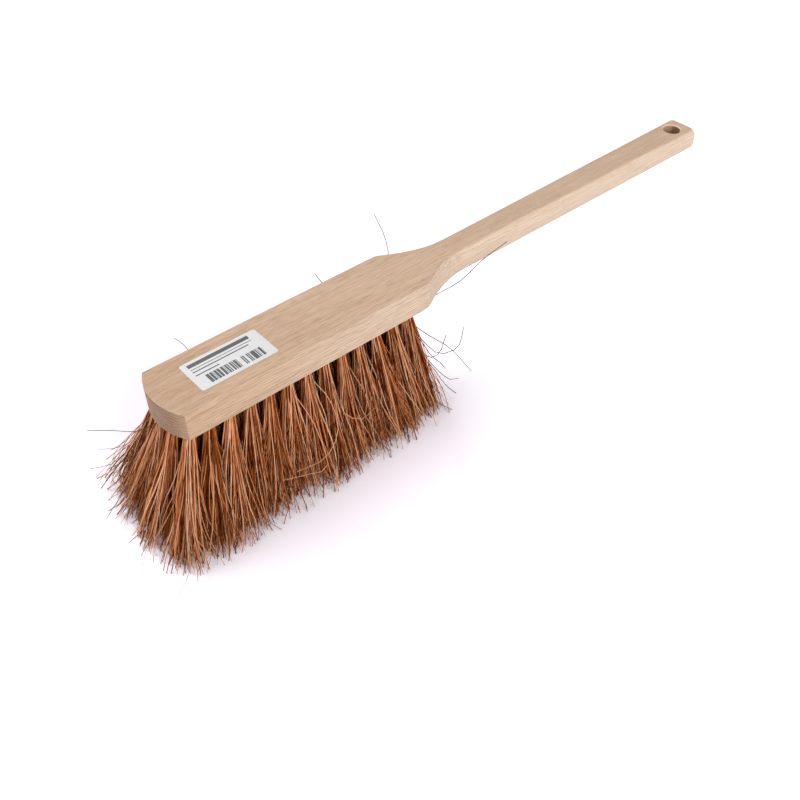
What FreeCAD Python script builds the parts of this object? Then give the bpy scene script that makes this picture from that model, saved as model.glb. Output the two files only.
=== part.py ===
import FreeCAD, Part
import math
import os

# Hand broom: one beech stock, coir tufts in drilled holes, a staple in each tuft, a paper label.
# Millimetres. +X runs along the broom to the handle's end, +Y is the right-hand side for the hand
# that holds it, +Z is up, and the origin lies on the floor under the middle of the whole broom.

Vec = FreeCAD.Vector

# Head of the stock
head_width = 44.0
head_length = 163.0  # from the corners of the nose to the start of the shoulders
stock_thickness = 19.0
nose_rise = 7.0  # how far the curved nose stands out in front of its corners
head_edge_radius = 0.6

# Shoulders, neck and handle
shoulder_corner_radius = 12.0
shoulder_turn = math.radians(28.5)  # slope of the shoulder against the broom's length
left_shoulder_lag = 7.0  # how much further back the left shoulder is cut than the right
neck_width = 21.2
handle_reach = 294.0  # from the start of the shoulders to the handle's end
handle_end_width = 26.0
handle_relief = 2.0  # how much the underside rises from the shoulders to the handle's end
handle_edge_radius = 6.0
handle_end_radius = 3.0
edge_radius_limit_share = 0.45  # of the width or thickness that an edge rounding takes from

# Hole to hang the broom by
hang_hole_diameter = 13.0
hang_hole_setback = 15.0  # from the handle's end to the middle of the hole
hang_hole_easing = 0.7  # bevel round both rims

# Tufts and the holes that hold them
bristle_height = 70.0  # from the floor to the underside of the head
tufts_per_row = 13
hole_diameter = 7.0
roof_wall = 8.0  # wood left above a tuft hole
tuft_clearance = 0.1  # between a tuft and the wall of its hole
side_margin = 5.5  # from the middle of the outer rows to the side of the head
front_margin = 6.0  # from the middle of the first tufts to the nose
rear_margin = 4.0  # from the middle of the last outer tufts to the start of the shoulders
front_lean = 25.0  # how far the first tufts lean forward at the floor
rear_lean = 4.0  # how far the last tufts lean back at the floor
side_splay = 22.0  # how far the bristles reach out past the sides of the head at the floor
tip_gap = 0.6  # between neighbouring tufts at the floor

# Staples
staple_wire = 1.0
staple_side_gap = 0.9  # between a staple's leg and the wall of the tuft hole
staple_bend_radius = 1.2  # at the middle of the wire
fold_thickness = 3.2  # fibre between the staple's crown and the roof of the hole
tip_cover = 2.7  # wood left above the tips of the staple
staple_clearance = 0.05  # between the wire and what it passes through

# Label
label_length = 50.0
label_width = 25.0
label_thickness = 0.15
label_corner_radius = 1.5
label_setback = 17.0  # from the corners of the nose to the label

cut_overrun = 3.0  # how far each cutting shape starts outside the wood

# The rows of tufts, evenly spaced from the left side of the head to the right
row_names = ("left_outer", "left_inner", "right_inner", "right_outer")

# Places that follow from the sizes, with X counted from the corners of the nose
underside = bristle_height
top = bristle_height + stock_thickness
handle_end = head_length + handle_reach
half_head = head_width / 2
half_neck = neck_width / 2
half_end = handle_end_width / 2
nose_radius = (half_head ** 2 + nose_rise ** 2) / (2 * nose_rise)
end_thickness = stock_thickness - handle_relief

# The shoulder's outline is a convex arc, then a concave arc down to the neck
turn_drop_share = 1 - math.cos(shoulder_turn)
neck_radius = (half_head - half_neck) / turn_drop_share - shoulder_corner_radius
corner_length = shoulder_corner_radius * math.sin(shoulder_turn)
shoulder_length = corner_length + neck_radius * math.sin(shoulder_turn)
neck_start = head_length + left_shoulder_lag + shoulder_length

# Rows of tufts
hole_radius = hole_diameter / 2
hole_depth = stock_thickness - roof_wall
tuft_radius = hole_radius - tuft_clearance
row_count = len(row_names)
row_pitch = (head_width - 2 * side_margin) / (row_count - 1)
tip_row_pitch = (head_width + 2 * side_splay) / row_count


def nose_front(y):
    """X of the nose's curved face at a distance y from the middle."""
    return nose_radius - nose_rise - math.sqrt(nose_radius ** 2 - y ** 2)


outer_first = nose_front(half_head - side_margin) + front_margin
tuft_pitch = (head_length - rear_margin - outer_first) / (tufts_per_row - 1)
tip_pitch = tuft_pitch + (front_lean + rear_lean) / (tufts_per_row - 1)
tip_half_length = (tip_pitch - tip_gap) / 2
tip_half_width = (tip_row_pitch - tip_gap) / 2

inner_first = nose_front(row_pitch / 2) + front_margin
bristle_front = inner_first - front_lean - tip_half_length
middle_x = (bristle_front + handle_end) / 2


def place(x, y, z):
    """A point given from the corners of the nose, in the broom's own frame."""
    return Vec(x - middle_x, y, z)


def line(start, end):
    return Part.LineSegment(start, end).toShape()


def arc(start, middle, end):
    return Part.Arc(start, middle, end).toShape()


def smooth_share(share):
    """A share from 0 to 1 that starts and ends without a kink."""
    return share * share * (3 - 2 * share)


def half_width_at(x, side):
    """Width of the stock to the left (side -1) or right (side 1) of its middle, behind the head."""
    along = x - head_length - (left_shoulder_lag if side < 0 else 0)
    if along <= 0:
        return half_head
    if along <= corner_length:
        return half_head - shoulder_corner_radius + math.sqrt(shoulder_corner_radius ** 2 - along ** 2)
    if along <= shoulder_length:
        return half_neck + neck_radius - math.sqrt(neck_radius ** 2 - (shoulder_length - along) ** 2)
    if x <= neck_start:
        return half_neck
    return half_neck + (half_end - half_neck) * (x - neck_start) / (handle_end - neck_start)


def underside_at(x):
    """Height of the stock's underside behind the head."""
    return underside + handle_relief * (x - head_length) / handle_reach


def section_at(x):
    """Rounded rectangle across the stock, crisp at the head and well rounded along the handle."""
    low = underside_at(x)
    share = smooth_share(min(1, (x - head_length) / (neck_start - head_length)))
    radius = head_edge_radius + (handle_edge_radius - head_edge_radius) * share
    radius = min(radius, edge_radius_limit_share * min(end_thickness, neck_width))
    diagonal = radius * (1 - math.sqrt(0.5))
    ends = []
    for side, level, inward in ((-1, low, 1), (1, low, 1), (1, top, -1), (-1, top, -1)):
        half = half_width_at(x, side)
        on_flat = place(x, side * (half - radius), level)
        between = place(x, side * (half - diagonal), level + inward * diagonal)
        on_side = place(x, side * half, level + inward * radius)
        ends.append((on_flat, between, on_side))
    edges = []
    for first, second, third in ((0, 1, 2), (2, 3, 0)):
        edges.append(line(ends[first][0], ends[second][0]))
        edges.append(arc(*ends[second]))
        edges.append(line(ends[second][2], ends[third][2]))
        edges.append(arc(*reversed(ends[third])))
    return Part.Wire(edges)


def make_head():
    """The head block, with its curved nose and eased edges."""
    front = place(-nose_rise, 0, underside)
    nose = [place(0, side * half_head, underside) for side in (-1, 1)]
    back = [place(head_length, side * half_head, underside) for side in (-1, 1)]
    outline = Part.Wire([
        arc(nose[1], front, nose[0]),
        line(nose[0], back[0]),
        line(back[0], back[1]),
        line(back[1], nose[1]),
    ])
    block = Part.Face(outline).extrude(Vec(0, 0, stock_thickness))
    rear = place(head_length, 0, 0).x
    eased = [edge for edge in block.Edges if edge.BoundBox.XMin < rear - head_edge_radius]
    return block.makeFillet(head_edge_radius, eased)


def make_handle():
    """Shoulders and neck as one loft, then the handle's straight taper with a rounded end."""
    shoulder_steps = 16
    step_length = (neck_start - head_length) / shoulder_steps
    stations = [head_length + step * step_length for step in range(shoulder_steps + 1)]
    shoulders = Part.makeLoft([section_at(x) for x in stations], True, False)
    bar = Part.makeLoft([section_at(neck_start), section_at(handle_end)], True, True)
    end_x = place(handle_end, 0, 0).x
    end_edges = [edge for edge in bar.Edges if edge.BoundBox.XMin > end_x - head_edge_radius]
    return [shoulders, bar.makeFillet(handle_end_radius, end_edges)]


class TuftPlace:
    """Where one tuft leaves the head, where it meets the floor, and how its hole is drilled."""

    def __init__(self, row, number):
        rows_from_middle = row - (row_count - 1) / 2
        root_y = rows_from_middle * row_pitch
        along_share = number / (tufts_per_row - 1)
        root_x = nose_front(root_y) + front_margin + number * tuft_pitch
        lean = rear_lean * along_share - front_lean * (1 - along_share)
        self.root = place(root_x, root_y, underside)
        self.tip = place(root_x + lean, rows_from_middle * tip_row_pitch, 0)
        self.axis = (self.root - self.tip).normalize()
        self.hole_end = self.root + self.axis * hole_depth
        across = Vec(0, 1, 0) - self.axis * self.axis.y
        turn = FreeCAD.Rotation(across, Vec(), self.axis, "ZXY")
        self.frame = FreeCAD.Placement(self.hole_end, turn)


def ring(middle, along_x, along_y):
    """Ellipse about a middle point, from the two half-axes that a unit circle's own become."""
    normal = along_x.cross(along_y)
    stretch = FreeCAD.Matrix(
        along_x.x, along_y.x, normal.x, middle.x,
        along_x.y, along_y.y, normal.y, middle.y,
        along_x.z, along_y.z, normal.z, middle.z,
        0, 0, 0, 1,
    )
    return Part.Wire([Part.makeCircle(1).transformGeometry(stretch)])


def make_tuft(tuft, tunnel):
    """A bundle that fills its hole, then spreads in a straight flare to the floor."""
    tilt = Vec(tuft.axis.x, tuft.axis.y, 0)
    steepness = tuft.axis.z
    mouth_axes = []
    for unit in (Vec(1, 0, 0), Vec(0, 1, 0)):
        share_along_tilt = unit.dot(tilt) / (steepness * (1 + steepness))
        mouth_axes.append((unit + tilt * share_along_tilt) * tuft_radius)
    end_axes = [axis - tuft.axis * axis.dot(tuft.axis) for axis in mouth_axes]
    rings = [
        ring(tuft.hole_end, *end_axes),
        ring(tuft.root, *mouth_axes),
        ring(tuft.tip, Vec(tip_half_length, 0, 0), Vec(0, tip_half_width, 0)),
    ]
    bundle = Part.makeLoft(rings, True, True)
    seated = tunnel.copy()
    seated.Placement = tuft.frame
    return bundle.cut(seated)


# Staples are drawn with the roof of the tuft hole at Z zero and the wood above it
staple_half_span = hole_radius - staple_side_gap - staple_wire / 2
staple_tip = roof_wall - tip_cover


def bent_wire(radius, leg_top):
    """Round wire bent to a U, its crown below the roof of the hole and its legs up to leg_top."""
    crown = -fold_thickness
    bend = staple_bend_radius
    bend_diagonal = bend * (1 - math.sqrt(0.5))
    path = []
    for side in (-1, 1):
        leg = line(Vec(side * staple_half_span, 0, leg_top), Vec(side * staple_half_span, 0, crown + bend))
        corner = arc(
            Vec(side * staple_half_span, 0, crown + bend),
            Vec(side * (staple_half_span - bend_diagonal), 0, crown + bend_diagonal),
            Vec(side * (staple_half_span - bend), 0, crown),
        )
        path += [leg, corner]
    flat = staple_half_span - bend
    path.append(line(Vec(-flat, 0, crown), Vec(flat, 0, crown)))
    spine = Part.Wire(Part.__sortEdges__(path))
    profile = Part.Wire([Part.makeCircle(radius, Vec(-staple_half_span, 0, leg_top), Vec(0, 0, 1))])
    return spine.makePipeShell([profile], True, False)


def make_hole(tuft):
    """Cutting shapes for one tuft hole and the two leg holes of its staple."""
    start = tuft.root - tuft.axis * cut_overrun
    cuts = [Part.makeCylinder(hole_radius, hole_depth + cut_overrun, start, tuft.axis)]
    leg_radius = staple_wire / 2 + staple_clearance
    for side in (-1, 1):
        low = tuft.frame.multVec(Vec(side * staple_half_span, 0, -staple_bend_radius))
        cuts.append(Part.makeCylinder(leg_radius, staple_tip + staple_bend_radius, low, tuft.axis))
    return cuts


def make_hang_hole():
    """Cutting shapes for the hang hole and the bevels round its rims."""
    radius = hang_hole_diameter / 2
    wide = radius + hang_hole_easing + cut_overrun
    bevel_depth = hang_hole_easing + cut_overrun
    x = handle_end - hang_hole_setback
    above = place(x, 0, top + cut_overrun)
    below = place(x, 0, underside_at(x) - cut_overrun)
    up = Vec(0, 0, 1)
    return [
        Part.makeCylinder(radius, above.z - below.z, below),
        Part.makeCone(wide, radius, bevel_depth, below, up),
        Part.makeCone(wide, radius, bevel_depth, above, -up),
    ]


def make_stock(tufts):
    stock = make_head().fuse(make_handle())
    cuts = make_hang_hole()
    for tuft in tufts:
        cuts += make_hole(tuft)
    return stock.cut(cuts)


def make_label():
    low = place(label_setback, -label_width / 2, top)
    sheet = Part.makeBox(label_length, label_width, label_thickness, low)
    corners = [edge for edge in sheet.Edges if edge.BoundBox.ZLength > label_thickness / 2]
    return sheet.makeFillet(label_corner_radius, corners)


def save(shape, node):
    shape.exportStep("parts/" + node + ".step")


def main():
    os.makedirs("parts", exist_ok=True)
    tufts = {}
    for row, row_name in enumerate(row_names):
        for number in range(tufts_per_row):
            tufts["tuft_%s_%02d" % (row_name, number + 1)] = TuftPlace(row, number)
    save(make_stock(tufts.values()), "stock")
    save(make_label(), "label")
    tunnel = bent_wire(staple_wire / 2 + staple_clearance, cut_overrun)
    staple = bent_wire(staple_wire / 2, staple_tip)
    staples = []
    for node, tuft in tufts.items():
        save(make_tuft(tuft, tunnel), node)
        seated = staple.copy()
        seated.Placement = tuft.frame
        staples.append(seated)
    save(Part.makeCompound(staples), "staples")


main()
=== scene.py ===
import bpy
import math
import numpy as np
from mathutils import Matrix, Vector


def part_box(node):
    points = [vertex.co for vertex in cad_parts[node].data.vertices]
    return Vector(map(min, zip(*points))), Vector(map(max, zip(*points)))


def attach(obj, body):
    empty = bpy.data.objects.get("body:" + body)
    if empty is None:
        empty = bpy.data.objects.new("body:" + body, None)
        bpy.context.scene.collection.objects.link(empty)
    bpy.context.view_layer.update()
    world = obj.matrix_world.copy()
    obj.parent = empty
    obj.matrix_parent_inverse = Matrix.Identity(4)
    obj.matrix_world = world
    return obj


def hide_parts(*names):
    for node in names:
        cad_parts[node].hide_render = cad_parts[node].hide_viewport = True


# Hand broom: beech stock with its grain, a paper label, and tufts of loose coir fibres.
# Metres, in the frame of the solids: +X to the handle's end, +Z up, the floor at zero.

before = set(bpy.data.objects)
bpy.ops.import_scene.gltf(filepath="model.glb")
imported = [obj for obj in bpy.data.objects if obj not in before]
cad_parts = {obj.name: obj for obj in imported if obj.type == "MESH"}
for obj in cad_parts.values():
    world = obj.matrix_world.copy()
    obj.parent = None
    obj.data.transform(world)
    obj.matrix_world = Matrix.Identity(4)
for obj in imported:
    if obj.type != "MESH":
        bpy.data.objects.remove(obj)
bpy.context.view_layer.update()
MM = 0.001
tuft_names = sorted(node.removeprefix("tuft_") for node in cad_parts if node.startswith("tuft_"))
tufts_per_row = max(int(name.rsplit("_", 1)[1]) for name in tuft_names)

# Camera, solved from the straight edges of the head
camera_place = (-0.35418, -0.34957, 0.43296)
camera_azimuth = math.radians(-41.668)
camera_elevation = math.radians(44.296)
camera_roll = math.radians(0.576)
sensor_width_mm = 36.0
camera_lens_mm = 41.855

# Light: a key in front of the broom, a rim behind it and a fill off its nose
ambient_strength = 0.09
ambient_colour = (1.0, 0.99, 0.985, 1.0)
key_place = (0.1, -6.3, 3.3)
key_size = 5.0
key_watts = 395.0
rim_place = (-0.8, 3.82, 4.67)
rim_size = 6.0
rim_watts = 366.0
fill_place = (-5.0, -2.2, 2.4)
fill_size = 3.0
fill_watts = 104.0
light_target = (-0.1, 0.0, 0.05)

# Floor: as seen it is a little over white, so that only the shadow shows, and what
# it sends back to the broom is that of a plain grey floor
floor_half_size = 1.5
floor_seen_colour = (1.205, 1.165, 1.26, 1.0)
floor_bounce_colour = (0.6, 0.6, 0.6, 1.0)

# Fibres
fibres_per_tuft = 240
fibre_rings = 12
fibre_sides = 4
fibre_radius = 0.235 * MM
radius_spread_share = 0.35
thinnest_share, thickest_share = 0.45, 1.8
tip_radius_share = 0.85
fibre_length = 81.0 * MM  # from the mouth of the hole
hole_start = 4.0 * MM  # how far inside its hole a fibre starts
root_fill_share = 0.8
rear_fill_share = 1.0  # in the last holes of a row
rear_fill_tufts = 2
clumps_per_tuft = 16
clump_pull_share = 0.2
tip_scatter_share = 0.45
# How far the tips reach past the foot of a tuft's solid, along and across the broom
along_reach_share, across_reach_share = 1.35, 1.0
front_reach_shares = {"left_outer": 1.25, "left_inner": 1.3, "right_inner": 0.4, "right_outer": -0.5}
rear_reach_shares = {"left_outer": 0.4, "left_inner": 2.2, "right_inner": 1.6, "right_outer": 1.2}
# Out from the side rows, tuft by tuft from the nose on; the last one carries on
left_reach_shares = (1.4, 1.8, 1.9, 1.2, 0.9, 1.0, 1.4, 1.3, 1.1, 1.2, 1.1, 0.9, 0.7)
right_reach_shares = (0.0, 0.0, 0.2, 0.6)
side_limit = 50.0 * MM  # past this the fibres bend in
side_give = 5.0 * MM  # the most by which a fibre passes the limit
# Wisps: some fibres of the first tufts of a row stand out further, along and across
wisp_shares = (0.24, 0.08)
wisp_reaches = {
    "left_outer": (0.0, 0.0),
    "left_inner": (-8.0 * MM, 0.0),
    "right_inner": (-12.0 * MM, 4.0 * MM),
    "right_outer": (-7.0 * MM, 17.0 * MM),
}
flare_mean_share = 0.5  # how much of a fibre's spread comes late, towards its tip
rear_flare_shares = {"left_outer": 0.0, "left_inner": -0.5, "right_inner": 0.0, "right_outer": 0.2}
flare_spread_share = 0.35
wave_size = 2.2 * MM
wave_turns = (0.4, 1.3)  # fewest and most in a fibre's length
kink_size = 0.35 * MM
kink_turns = (1.5, 3.5)
hook_size = 2.2 * MM  # how far the end of a fibre curls away
hook_start_share = 0.75
trim_scatter = 1.2 * MM  # how far the ends stand off the floor
short_share = 0.15  # of the fibres that end well above the floor
short_rise = 14.0 * MM
loose_share = 0.13  # of the fibres that bend away from their tuft
loose_bend = 8.0 * MM
bend_limit = 1.6  # of the random bends and tips, in standard deviations
tone_push = 0.6  # below 1 makes more fibres very dark or very light
stray_radius = 0.27 * MM
# Tone, greyness and thickness of the stray fibres
stray_look_shares = {
    "dark": (0.12, 1.0, 1.0),
    "faint": (0.2, 0.8, 0.6),
    "light": (0.9, 0.0, 1.0),
    "brown": (0.4, 0.2, 1.0),
}

# Loose fibres that stand out in the view: the tuft that each grows from, its look,
# and the points that it passes, in mm
stray_fibres = (
    ("right_outer_04", "dark", ((-173, 26, 66), (-176, 37, 75), (-178, 39, 80), (-181, 41, 84))),
    ("right_outer_11", "dark", ((-74, 26, 66), (-76, 39, 73), (-79, 42, 80))),
    ("right_outer_13", "dark", ((-30, 28, 66), (-26, 32, 75), (-24, 37, 83), (-22, 51, 95))),
    ("left_outer_13", "dark", ((-28, -14, 69), (-3, -15, 71), (11, -15, 77), (37, -14, 81))),
    ("left_outer_13", "dark", ((-41, -19, 50), (-29, -32, 38), (-21, -45, 22))),
    ("left_outer_13", "dark", ((-47, -26, 50), (-39, -34, 40), (-31, -40, 44), (-27, -41, 60))),
    ("left_outer_13", "dark", ((-45, -33, 40), (-38, -32, 39), (-32, -29, 42), (-27, -26, 44))),
    ("left_outer_13", "dark", ((-46, -27, 45), (-41, -29, 35), (-37, -32, 30), (-36, -36, 27))),
    ("left_outer_13", "dark", ((-41, -30, 28), (-36, -33, 20), (-31, -36, 14), (-25, -39, 14))),
    ("left_outer_13", "dark", ((-50, -33, 20), (-45, -39, 5), (-42, -45, 2), (-40, -48, 1))),
    ("left_outer_12", "dark", ((-56, -24, 50), (-44, -33, 30), (-40, -42, 18), (-37, -48, 14))),
    ("left_outer_09", "light", ((-113, -28, 58), (-119, -37, 40), (-114, -43, 37), (-100, -41, 36))),
    ("right_inner_01", "dark", ((-225, 12, 60), (-237, 25, 58), (-246, 35, 56))),
    ("right_inner_01", "faint", ((-227, 10, 58), (-238, 14, 54), (-247, 22, 52))),
    ("right_outer_01", "faint", ((-228, 26, 45), (-240, 30, 28), (-252, 33, 30))),
    ("left_outer_07", "light", ((-125, -31, 50), (-128, -40, 32), (-140, -44, 24), (-161, -43, 25))),
    ("left_outer_06", "light", ((-140, -35, 42), (-143, -46, 16), (-155, -45, 20), (-171, -43, 25))),
    ("left_outer_02", "brown", ((-190, -40, 20), (-187, -48, 5), (-183, -55, 1))),
)


def colour(red, green, blue):
    return (red, green, blue, 1.0)


class Shader:
    """A material's nodes, with short calls that add a node and link what feeds it."""

    def __init__(self, name):
        self.material = bpy.data.materials.new(name)
        self.material.use_nodes = True
        self.tree = self.material.node_tree
        self.surface = self.tree.nodes["Principled BSDF"]

    def feed(self, socket, value):
        if isinstance(value, bpy.types.NodeSocket):
            self.tree.links.new(value, socket)
        else:
            socket.default_value = value

    def add(self, kind, inputs, **settings):
        node = self.tree.nodes.new("ShaderNode" + kind)
        for name, value in settings.items():
            setattr(node, name, value)
        for socket, value in inputs.items():
            self.feed(node.inputs[socket], value)
        return node

    def set(self, **inputs):
        for name, value in inputs.items():
            self.feed(self.surface.inputs[name.replace("_", " ")], value)

    def math(self, operation, first, second=0.0, third=0.0):
        inputs = {0: first, 1: second, 2: third}
        return self.add("Math", inputs, operation=operation).outputs[0]

    def place(self):
        return self.add("TexCoord", {}).outputs["Object"]

    def split(self, vector):
        return self.add("SeparateXYZ", {0: vector}).outputs

    def noise(self, place, length, width, detail=2.0, roughness=0.5):
        """Noise from about 0 to 1 with features of a length along X and a width across it."""
        sizes = (1 / length, 1 / width, 1 / width)
        scaled = self.add("VectorMath", {0: place, 1: sizes}, operation="MULTIPLY").outputs[0]
        inputs = {"Vector": scaled, "Scale": 1.0, "Detail": detail, "Roughness": roughness}
        return self.add("TexNoise", inputs).outputs["Fac"]

    def between(self, value, low, high, way="SMOOTHSTEP"):
        """The share, from 0 to 1, of the way that a value lies from low to high."""
        inputs = {"Value": value, "From Min": low, "From Max": high}
        return self.add("MapRange", inputs, interpolation_type=way).outputs[0]

    def mix(self, share, first, second, way="MIX"):
        inputs = {0: share, 6: first, 7: second}
        return self.add("Mix", inputs, data_type="RGBA", blend_type=way).outputs[2]

    def ramp(self, value, stops):
        node = self.add("ValToRGB", {0: value})
        elements = node.color_ramp.elements
        while len(elements) < len(stops):
            elements.new(1.0)
        for element, (stop, shade) in zip(elements, stops):
            element.position = stop
            element.color = shade
        return node.outputs[0]

    def bump(self, height, depth):
        inputs = {"Height": height, "Distance": depth, "Strength": 1.0}
        self.set(Normal=self.add("Bump", inputs).outputs[0])


def shade_bore(wood, place, body):
    """The wood's colour with the wall of the hang hole in shade, the more the deeper it lies."""
    hole_place = (230 * MM, 0, 0)
    shade_radii = (6.7 * MM, 6.55 * MM)  # where the shade starts and is full, just outside the wall
    shade_heights = (88 * MM, 76 * MM)
    off_axis = wood.add("VectorMath", {0: place, 1: hole_place}, operation="SUBTRACT").outputs[0]
    off_axis = wood.add("VectorMath", {0: off_axis, 1: (1, 1, 0)}, operation="MULTIPLY").outputs[0]
    off_axis = wood.add("VectorMath", {0: off_axis}, operation="LENGTH").outputs["Value"]
    depth = wood.between(wood.split(place)[2], *shade_heights)
    shade = wood.mix(depth, colour(0.62, 0.52, 0.40), colour(0.34, 0.26, 0.20))
    return wood.mix(wood.between(off_axis, *shade_radii), body, shade, "MULTIPLY")


def beech_material():
    """Beech: growth rings in near-level layers, fine fibre streaks, short dark flecks along the grain."""
    # Length along the grain and width across it
    sway_size = (90 * MM, 9 * MM)
    patch_size = (110 * MM, 7 * MM)
    fine_size = (30 * MM, 0.65 * MM)
    fleck_size = (9 * MM, 0.42 * MM)
    ring_pitch = 2.0 * MM
    ring_sway = 4.5 * MM
    ring_tilt_share = 0.05
    ring_slope_share = 0.012
    late_wood_shares = (0.35, 0.9)  # where in a ring the dark late wood builds up
    late_edge_shares = (1.0, 0.93)  # and where it ends
    fine_noise_shares = (0.34, 0.66)  # where in the noise a streak or a fleck starts and is full
    fleck_noise_shares = (0.55, 0.65)
    grain_depth = 0.05 * MM
    fine_dent_share, fleck_dent_share = 0.4, 0.7
    roughness, fine_roughness = 0.5, 0.12
    facing_shares = (0.75, 0.95)  # how squarely a face has to look up or along to count as flat or end
    head_span = (-220 * MM, -60 * MM)  # where the colour changes from the nose to the rear of the head
    neck_span = (-60 * MM, 60 * MM)  # and from there to the handle
    rear_share = 0.8
    # How strong the grain is: rings on the sides, more of them on end grain, less on top
    ring_side_share, ring_end_share, ring_flat_share = 0.4, 0.5, -0.2
    fine_share = 0.7
    fleck_share = 0.45
    handle_fade_share = 0.4

    wood = Shader("beech")
    place = wood.place()
    x, y, z = wood.split(place)[:3]
    sway = wood.noise(place, *sway_size)
    layer = wood.math("MULTIPLY_ADD", y, ring_tilt_share, z)
    layer = wood.math("MULTIPLY_ADD", x, ring_slope_share, layer)
    layer = wood.math("MULTIPLY_ADD", sway, ring_sway, layer)
    ring = wood.math("FRACT", wood.math("DIVIDE", layer, ring_pitch))
    late = wood.between(ring, *late_wood_shares)
    late = wood.math("MULTIPLY", late, wood.between(ring, *late_edge_shares))
    fine = wood.between(wood.noise(place, *fine_size, 2.0, 0.6), *fine_noise_shares)
    fleck = wood.between(wood.noise(place, *fleck_size, 1.0), *fleck_noise_shares)
    facing = wood.split(wood.add("NewGeometry", {}).outputs["Normal"])
    end = wood.between(wood.math("ABSOLUTE", facing[0]), *facing_shares)
    flat = wood.between(wood.math("ABSOLUTE", facing[2]), *facing_shares)
    behind = wood.math("MULTIPLY", wood.between(x, *head_span), rear_share)
    handle = wood.between(x, *neck_span)

    # The board's colour: its own, patchy, paler at the rear and darker on end grain, plus painted shade
    # that makes flat faces darker than the sides
    body = wood.ramp(wood.noise(place, *patch_size), (
        (0.3, colour(0.65, 0.437, 0.296)),
        (0.55, colour(0.72, 0.504, 0.353)),
        (0.75, colour(0.755, 0.55, 0.405)),
    ))
    # Painted shade: the top and underside darker than the sides
    body = wood.mix(flat, body, colour(0.815, 0.798, 0.782), "MULTIPLY")
    upper = wood.mix(handle, colour(0.63, 0.458, 0.335), colour(0.545, 0.396, 0.287))
    # At the rear too, painted light: the sides get a paler colour than the top
    body = wood.mix(behind, body, wood.mix(flat, colour(0.855, 0.68, 0.54), upper))
    body = wood.mix(end, body, colour(0.59, 0.525, 0.51), "MULTIPLY")

    # The grain, fainter on the handle
    grain_share = wood.math("MULTIPLY_ADD", handle, -handle_fade_share, 1.0)
    ring_share = wood.math("MULTIPLY_ADD", end, ring_end_share, ring_side_share)
    ring_share = wood.math("MULTIPLY_ADD", flat, ring_flat_share, ring_share)
    for share, layer_share, tint in (
        (late, ring_share, colour(0.68, 0.60, 0.52)),
        (fine, fine_share, colour(0.75, 0.69, 0.62)),
        (fleck, fleck_share, colour(0.55, 0.45, 0.37)),
    ):
        share = wood.math("MULTIPLY", wood.math("MULTIPLY", share, layer_share), grain_share)
        body = wood.mix(share, body, tint, "MULTIPLY")
    wood.set(Base_Color=shade_bore(wood, place, body), Specular_IOR_Level=0.3)
    wood.set(Roughness=wood.math("MULTIPLY_ADD", fine, fine_roughness, roughness))
    height = wood.math("MULTIPLY", fine, -fine_dent_share)
    wood.bump(wood.math("MULTIPLY_ADD", fleck, -fleck_dent_share, height), grain_depth)
    return wood.material


def label_material():
    """Smooth white paper with a faint fibre, a few plain printed rules and a row of plain bars."""
    pulp_size = (0.8 * MM, 0.5 * MM)
    pulp_depth = 0.01 * MM
    roughness, pulp_roughness = 0.33, 0.1
    bar_pitch_share = 0.0077
    bar_fill_share = 0.55
    # Start and end along the label, low and high across it
    bar_field_shares = (0.145, 0.88, 0.10, 0.40)
    rule_shares = (
        (0.07, 0.87, 0.79, 0.91),
        (0.07, 0.87, 0.705, 0.725),
        (0.07, 0.80, 0.605, 0.64),
        (0.07, 0.37, 0.48, 0.515),
    )
    low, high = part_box("label")
    paper = Shader("label_paper")
    place = paper.place()
    x, y = paper.split(place)[:2]
    along = paper.between(x, low[0], high[0], "LINEAR")
    across = paper.between(y, low[1], high[1], "LINEAR")

    def inside(value, start, end):
        return paper.math("COMPARE", value, (start + end) / 2, (end - start) / 2)

    def patch(start, end, low_edge, high_edge):
        return paper.math("MULTIPLY", inside(along, start, end), inside(across, low_edge, high_edge))

    bar_number = paper.math("FLOOR", paper.math("DIVIDE", along, bar_pitch_share))
    chance = paper.add("TexWhiteNoise", {"W": bar_number}, noise_dimensions="1D").outputs["Value"]
    bars = paper.math("LESS_THAN", chance, bar_fill_share)
    ink = paper.math("MULTIPLY", bars, patch(*bar_field_shares))
    for rule in rule_shares:
        ink = paper.math("MAXIMUM", ink, patch(*rule))
    pulp = paper.noise(place, *pulp_size, 3.0)
    sheet = paper.mix(pulp, colour(0.62, 0.61, 0.62), colour(0.68, 0.67, 0.68))
    paper.set(Base_Color=paper.mix(ink, sheet, colour(0.035, 0.035, 0.04)))
    paper.set(Roughness=paper.math("MULTIPLY_ADD", pulp, pulp_roughness, roughness))
    paper.bump(pulp, pulp_depth)
    return paper.material


def staple_material():
    """Drawn steel wire, a little dull."""
    scuff_size = (0.6 * MM, 0.3 * MM)
    roughness, scuff_roughness = 0.25, 0.3
    steel = Shader("staple_wire")
    scuff = steel.noise(steel.place(), *scuff_size)
    steel.set(Base_Color=colour(0.55, 0.55, 0.56), Metallic=1.0)
    steel.set(Roughness=steel.math("MULTIPLY_ADD", scuff, scuff_roughness, roughness))
    return steel.material


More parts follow.
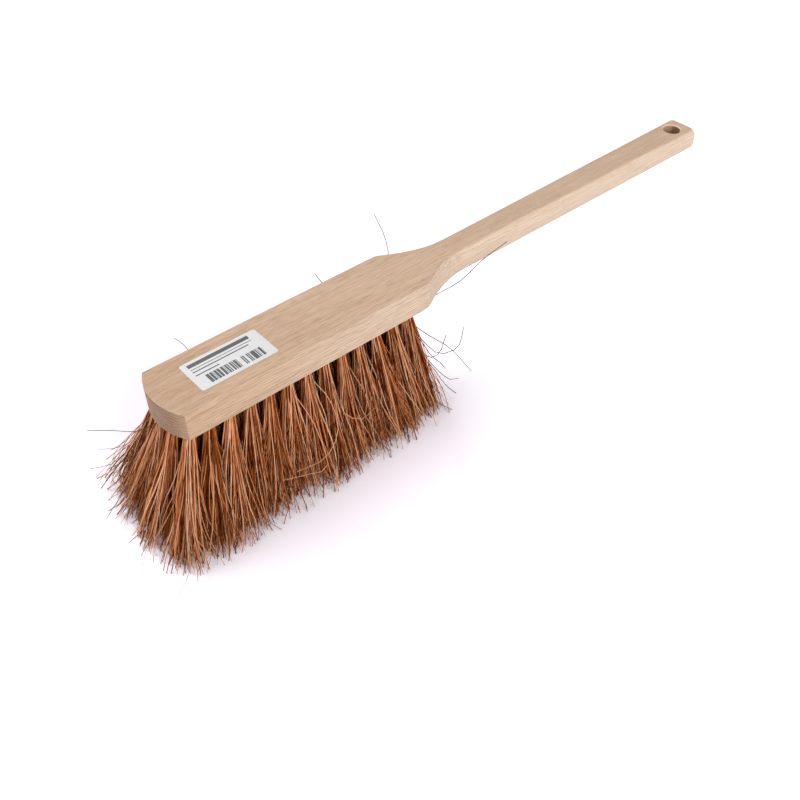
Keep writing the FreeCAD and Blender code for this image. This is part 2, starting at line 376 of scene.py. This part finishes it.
def coir_material():
    """Coconut fibre: each has its own brown, mottled along it, darker at the tip, partly as painted shade
    on the lower bristles; some strays are grey.
    """
    mottle_size = (5 * MM, 5 * MM)
    mottle_share = 0.3
    tip_start_share = 0.5
    tip_dark_and_shade_share = 0.3
    roughness, mottle_roughness = 0.38, 0.25
    coir = Shader("coir")
    fibre = coir.add("Attribute", {}, attribute_name="fibre").outputs["Vector"]
    tone, along, grey = coir.split(fibre)[:3]
    mottle = coir.noise(coir.place(), *mottle_size)
    shade = coir.math("MULTIPLY_ADD", mottle, mottle_share, coir.math("SUBTRACT", tone, mottle_share / 2))
    body = coir.ramp(shade, (
        (0.0, colour(0.075, 0.009, 0.001)),
        (0.3, colour(0.31, 0.068, 0.01)),
        (0.55, colour(0.59, 0.182, 0.055)),
        (0.8, colour(0.80, 0.355, 0.17)),
        (1.0, colour(0.88, 0.535, 0.345)),
    ))
    # Darker towards the tip: partly the fibres' own dark ends, partly painted shade on the low part of the
    # bristles
    tip = coir.math("MULTIPLY", coir.between(along, tip_start_share, 1.0), tip_dark_and_shade_share)
    body = coir.mix(tip, body, colour(0.22, 0.07, 0.016))
    body = coir.mix(grey, body, colour(0.095, 0.058, 0.042))
    coir.set(Base_Color=body, Specular_IOR_Level=0.04)
    coir.set(Roughness=coir.math("MULTIPLY_ADD", mottle, mottle_roughness, roughness))
    return coir.material


class Tuft:
    """Where one bundle of fibres leaves its hole and where it meets the floor, read from its solid."""

    def __init__(self, name):
        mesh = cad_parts["tuft_" + name].data
        points = np.empty(3 * len(mesh.vertices))
        mesh.vertices.foreach_get("co", points)
        points = points.reshape(-1, 3)
        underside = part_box("stock")[0][2]
        self.mouth, self.mouth_half = self.ring(points, underside)
        self.foot, self.foot_half = self.ring(points, 0.0)
        row, number = name.rsplit("_", 1)
        place = int(number) - 1
        self.reach_low, self.reach_high = self.reaches(row, place)
        self.fill = rear_fill_share if place >= tufts_per_row - rear_fill_tufts else root_fill_share
        self.flare = rear_flare_shares[row] if place == tufts_per_row - 1 else flare_mean_share
        self.wisp_share = wisp_shares[place] if place < len(wisp_shares) else 0.0
        self.wisp_reach = np.array(wisp_reaches[row])

    @staticmethod
    def reaches(row, place):
        """How far the tips reach past the foot, towards low and towards high X and Y."""
        low = [along_reach_share, across_reach_share]
        high = [along_reach_share, across_reach_share]
        if place == 0:
            low[0] = front_reach_shares[row]
        if place == tufts_per_row - 1:
            high[0] = rear_reach_shares[row]
        if row == "left_outer":
            low[1] = left_reach_shares[min(place, len(left_reach_shares) - 1)]
        if row == "right_outer":
            high[1] = right_reach_shares[min(place, len(right_reach_shares) - 1)]
        return np.array(low), np.array(high)

    @staticmethod
    def ring(points, level):
        """Middle and half sizes of the solid's ring at a level."""
        tolerance = 0.1 * MM
        on_level = points[abs(points[:, 2] - level) < tolerance]
        low, high = on_level.min(axis=0), on_level.max(axis=0)
        return (low + high) / 2, (high - low) / 2


def disc_places(count, draw):
    """Even random places in a unit circle."""
    reach = np.sqrt(draw.random(count))
    angle = 2 * math.pi * draw.random(count)
    return np.stack([reach * np.cos(angle), reach * np.sin(angle)], axis=1)


def grow_fibres(tuft, draw):
    """Paths of a tuft's fibres: gathered in the hole, then flaring in clumps to the floor."""
    count = fibres_per_tuft
    root = disc_places(count, draw)
    clumps = disc_places(clumps_per_tuft, draw)
    nearest = np.argmin(((root[:, None] - clumps[None]) ** 2).sum(axis=2), axis=1)
    tip = root + clump_pull_share * (clumps[nearest] - root)
    tip = tip * np.where(tip < 0, tuft.reach_low, tuft.reach_high)
    tip += tip_scatter_share * np.clip(draw.normal(size=(count, 2)), -bend_limit, bend_limit)
    start = tuft.mouth[:2] + tuft.fill * root * tuft.mouth_half[:2]
    end = tuft.foot[:2] + tip * tuft.foot_half[:2]
    if tuft.wisp_share:
        wisps = draw.random((count, 1)) < tuft.wisp_share
        end += wisps * draw.random((count, 1)) * tuft.wisp_reach
    lean = tuft.foot[:2] - tuft.mouth[:2]

    travel = np.linalg.norm(end - start, axis=1)
    reach_down = np.sqrt(np.maximum(fibre_length ** 2 - travel ** 2, (fibre_length / 2) ** 2))
    rise = np.maximum(tuft.mouth[2] - reach_down, 0)
    rise += abs(draw.normal(size=count)) * trim_scatter
    rise += (draw.random(count) < short_share) * draw.random(count) * short_rise
    rise = np.minimum(rise, tuft.mouth[2] / 2)
    drop_share = np.linspace(-hole_start / tuft.mouth[2], 1, fibre_rings)
    drop = drop_share[None] * (1 - (drop_share[None] > 0) * rise[:, None] / tuft.mouth[2])
    flare = (tuft.flare + flare_spread_share * draw.normal(size=count))[:, None]
    spread = drop_share * (1 - flare) + flare * drop_share * abs(drop_share)
    paths = np.empty((count, fibre_rings, 3))
    paths[:, :, 2] = tuft.mouth[2] * (1 - drop)
    paths[:, :, :2] = start[:, None] + drop_share[None, :, None] * lean
    paths[:, :, :2] += spread[:, :, None] * (end - start - lean)[:, None]

    free = np.clip(drop_share, 0, 1)[None, :, None]
    for size, (fewest, most) in ((wave_size, wave_turns), (kink_size, kink_turns)):
        turns = fewest + (most - fewest) * draw.random((count, 1, 2))
        phase = 2 * math.pi * draw.random((count, 1, 2))
        swing = size * draw.normal(size=(count, 1, 2))
        wave = np.sin(2 * math.pi * turns * free + phase) - np.sin(phase)
        paths[:, :, :2] += swing * free * wave
    loose = (draw.random(count) < loose_share)[:, None, None]
    bend = np.clip(draw.normal(size=(count, 1, 2)), -bend_limit, bend_limit)
    paths[:, :, :2] += loose * loose_bend * bend * free ** 2
    curl = np.clip((free - hook_start_share) / (1 - hook_start_share), 0, 1) ** 2
    paths[:, :, :2] += hook_size * draw.normal(size=(count, 1, 2)) * curl
    past = np.maximum(abs(paths[:, :, 1]) - side_limit, 0)
    kept = side_limit + side_give * (1 - np.exp(-past / side_give))
    paths[:, :, 1] = np.where(past > 0, np.sign(paths[:, :, 1]) * kept, paths[:, :, 1])
    return paths


def grow_strays(name, tuft):
    """Paths of the loose fibres that grow from one tuft, smooth through their points."""
    paths = []
    for owner, _, places in stray_fibres:
        if owner != name:
            continue
        knots = np.array([tuft.mouth, *(np.array(places) * MM)])
        inside = knots[0] + np.array([0, 0, hole_start])
        knots = np.vstack([inside, knots])
        spans = np.linalg.norm(np.diff(knots, axis=0), axis=1)
        reach = np.concatenate([[0], np.cumsum(spans)])
        slopes = np.gradient(knots, reach, axis=0)
        path = []
        for at in np.linspace(0, reach[-1], fibre_rings):
            span = min(np.searchsorted(reach, at, side="right") - 1, len(spans) - 1)
            share = (at - reach[span]) / spans[span]
            first, second = knots[span], knots[span + 1]
            lead, trail = slopes[span] * spans[span], slopes[span + 1] * spans[span]
            path.append(
                (1 + 2 * share) * (1 - share) ** 2 * first
                + share * (1 - share) ** 2 * lead
                + share ** 2 * (3 - 2 * share) * second
                + share ** 2 * (share - 1) * trail
            )
        paths.append(path)
    return np.array(paths).reshape(-1, fibre_rings, 3)


def fibre_corners(paths, radii, draw):
    """Corner points of the fibres' tubes, ring by ring."""
    along = np.gradient(paths, axis=1)
    along /= np.linalg.norm(along, axis=2, keepdims=True)
    angle = 2 * math.pi * draw.random(len(paths))
    level = np.stack([np.cos(angle), np.sin(angle), np.zeros(len(paths))], axis=1)[:, None]
    side = level - along * (level * along).sum(axis=2, keepdims=True)
    side /= np.linalg.norm(side, axis=2, keepdims=True)
    other = np.cross(along, side)
    turn = 2 * math.pi * np.arange(fibre_sides) / fibre_sides
    around = np.cos(turn)[:, None] * side[:, :, None] + np.sin(turn)[:, None] * other[:, :, None]
    return paths[:, :, None] + radii[:, :, None, None] * around


def fibre_faces(count):
    """Corner numbers of every face, and where each face lies in its fibre's strip of the map."""
    sides = np.arange(fibre_sides)
    after = (sides + 1) % fibre_sides
    faces, strips = [sides[::-1]], [(0.0, 1.0, 0)]
    for ring in range(fibre_rings - 1):
        low, high = ring * fibre_sides, (ring + 1) * fibre_sides
        for side in sides:
            faces.append([low + side, low + after[side], high + after[side], high + side])
            strips.append((side / fibre_sides, (side + 1) / fibre_sides, ring + 1))
    faces.append((fibre_rings - 1) * fibre_sides + sides)
    strips.append((0.0, 1.0, fibre_rings))
    first = np.arange(count) * fibre_rings * fibre_sides
    return first[:, None, None] + np.array(faces)[None], np.array(strips)


def strip_map(count, strips):
    """Map places of every face's corners, with one upright strip for each fibre."""
    strip_rows = 2
    margin_share = 0.12
    columns = math.ceil(count / strip_rows)
    number = np.arange(count)[:, None]
    left = number % columns + margin_share + (1 - 2 * margin_share) * strips[None, :, 0]
    right = number % columns + margin_share + (1 - 2 * margin_share) * strips[None, :, 1]
    steps = fibre_rings + 1
    first = margin_share / steps
    bottom = number // columns + first + (1 - first) * strips[None, :, 2] / steps
    top = bottom + (1 - margin_share) / steps
    u = np.stack([left, right, right, left], axis=2) / columns
    v = np.stack([bottom, bottom, top, top], axis=2) / strip_rows
    return np.stack([u, v], axis=3)


def make_tuft(name, material):
    """One tuft of loose fibres in place of its solid."""
    tuft = Tuft(name)
    draw = np.random.default_rng([ord(letter) for letter in name])
    strays = grow_strays(name, tuft)
    paths = np.concatenate([grow_fibres(tuft, draw), strays])
    count = len(paths)
    width_share = 1 + radius_spread_share * draw.normal(size=count)
    thick = fibre_radius * np.clip(width_share, thinnest_share, thickest_share)
    looks = [stray_look_shares[look] for owner, look, _ in stray_fibres if owner == name]
    stray_tone, stray_grey, stray_thick = np.array(looks).reshape(-1, 3).T
    thick[count - len(strays):] = stray_radius * stray_thick
    taper = 1 - (1 - tip_radius_share) * np.linspace(0, 1, fibre_rings) ** 3
    radii = thick[:, None] * taper[None]
    paths[:, :, 2] = np.maximum(paths[:, :, 2], radii)
    spread = 2 * draw.random(count) - 1
    # In order of tone, so that neighbours in the map are alike
    tone = np.sort(0.5 + 0.5 * np.sign(spread) * abs(spread) ** tone_push)
    tone[count - len(strays):] = stray_tone
    grey = np.zeros(count)
    grey[count - len(strays):] = stray_grey
    corners = fibre_corners(paths, radii, draw)
    faces, strips = fibre_faces(count)

    mesh = bpy.data.meshes.new("coir_" + name)
    mesh.vertices.add(corners.size // 3)
    mesh.vertices.foreach_set("co", corners.ravel())
    mesh.loops.add(faces.size)
    mesh.loops.foreach_set("vertex_index", faces.ravel().astype(np.int32))
    mesh.polygons.add(faces.size // fibre_sides)
    mesh.polygons.foreach_set("loop_start", np.arange(0, faces.size, fibre_sides, dtype=np.int32))
    mesh.update(calc_edges=True)
    mesh.polygons.foreach_set("use_smooth", np.ones(len(mesh.polygons), dtype=bool))
    facts = np.empty((count, fibre_rings, fibre_sides, 3))
    facts[..., 0] = tone[:, None, None]
    facts[..., 1] = np.linspace(0, 1, fibre_rings)[None, :, None]
    facts[..., 2] = grey[:, None, None]
    mesh.attributes.new("fibre", "FLOAT_VECTOR", "POINT").data.foreach_set("vector", facts.ravel())
    bake_map = mesh.uv_layers.new(name="OFBake")
    bake_map.data.foreach_set("uv", strip_map(count, strips).ravel())
    mesh.materials.append(material)
    piece = bpy.data.objects.new("coir_" + name, mesh)
    bpy.context.scene.collection.objects.link(piece)
    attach(piece, "root")
    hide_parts("tuft_" + name)


def dress(node, material):
    """A solid that keeps its shape gets its finish."""
    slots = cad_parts[node].data.materials
    slots.clear()
    slots.append(material)


def make_camera():
    data = bpy.data.cameras.new("camera")
    data.sensor_width = sensor_width_mm
    data.lens = camera_lens_mm
    camera = bpy.data.objects.new("camera", data)
    bpy.context.scene.collection.objects.link(camera)
    camera.matrix_world = (
        Matrix.Translation(camera_place)
        @ Matrix.Rotation(camera_azimuth, 4, "Z")
        @ Matrix.Rotation(math.pi / 2 - camera_elevation, 4, "X")
        @ Matrix.Rotation(camera_roll, 4, "Z")
    )
    bpy.context.scene.camera = camera


def seen_directly(tree):
    """1 for rays that show the background itself, straight or in gloss and glass."""
    path = tree.nodes.new("ShaderNodeLightPath").outputs
    share = path["Is Camera Ray"]
    for name in ("Is Glossy Ray", "Is Transmission Ray"):
        either = tree.nodes.new("ShaderNodeMath")
        either.operation = "MAXIMUM"
        tree.links.new(share, either.inputs[0])
        tree.links.new(path[name], either.inputs[1])
        share = either.outputs[0]
    return share


def make_world():
    world = bpy.data.worlds.new("studio")
    world.use_nodes = True
    tree = world.node_tree
    ambient = tree.nodes["Background"]
    ambient.inputs["Color"].default_value = ambient_colour
    ambient.inputs["Strength"].default_value = ambient_strength
    white = tree.nodes.new("ShaderNodeBackground")
    white.inputs["Color"].default_value = colour(1, 1, 1)
    mixed = tree.nodes.new("ShaderNodeMixShader")
    tree.links.new(seen_directly(tree), mixed.inputs[0])
    tree.links.new(ambient.outputs[0], mixed.inputs[1])
    tree.links.new(white.outputs[0], mixed.inputs[2])
    tree.links.new(mixed.outputs[0], tree.nodes["World Output"].inputs["Surface"])
    bpy.context.scene.world = world


def make_floor():
    """Pale floor: shows white with the broom's soft shadow, and sends light back up."""
    material = bpy.data.materials.new("floor")
    material.use_nodes = True
    tree = material.node_tree
    tree.nodes.remove(tree.nodes["Principled BSDF"])
    tint = tree.nodes.new("ShaderNodeMix")
    tint.data_type = "RGBA"
    tree.links.new(seen_directly(tree), tint.inputs[0])
    tint.inputs[6].default_value = floor_bounce_colour
    tint.inputs[7].default_value = floor_seen_colour
    diffuse = tree.nodes.new("ShaderNodeBsdfDiffuse")
    tree.links.new(tint.outputs[2], diffuse.inputs["Color"])
    tree.links.new(diffuse.outputs[0], tree.nodes["Material Output"].inputs["Surface"])
    half = floor_half_size
    mesh = bpy.data.meshes.new("floor")
    corners = [(-half, -half, 0), (half, -half, 0), (half, half, 0), (-half, half, 0)]
    mesh.from_pydata(corners, [], [(0, 1, 2, 3)])
    mesh.materials.append(material)
    floor = bpy.data.objects.new("floor", mesh)
    bpy.context.scene.collection.objects.link(floor)


def make_lamp(name, place, size, watts):
    """A square soft box that faces the broom."""
    data = bpy.data.lights.new(name, "AREA")
    data.size = size
    data.energy = watts
    lamp = bpy.data.objects.new(name, data)
    bpy.context.scene.collection.objects.link(lamp)
    from_target = Vector(place) - Vector(light_target)
    turn = from_target.to_track_quat("Z", "Y").to_matrix().to_4x4()
    lamp.matrix_world = Matrix.Translation(place) @ turn


make_camera()
make_world()
make_floor()
make_lamp("key", key_place, key_size, key_watts)
make_lamp("rim", rim_place, rim_size, rim_watts)
make_lamp("fill", fill_place, fill_size, fill_watts)
bpy.context.scene.view_settings.view_transform = "Standard"

dress("stock", beech_material())
dress("label", label_material())
dress("staples", staple_material())
coir = coir_material()
for name in tuft_names:
    make_tuft(name, coir)
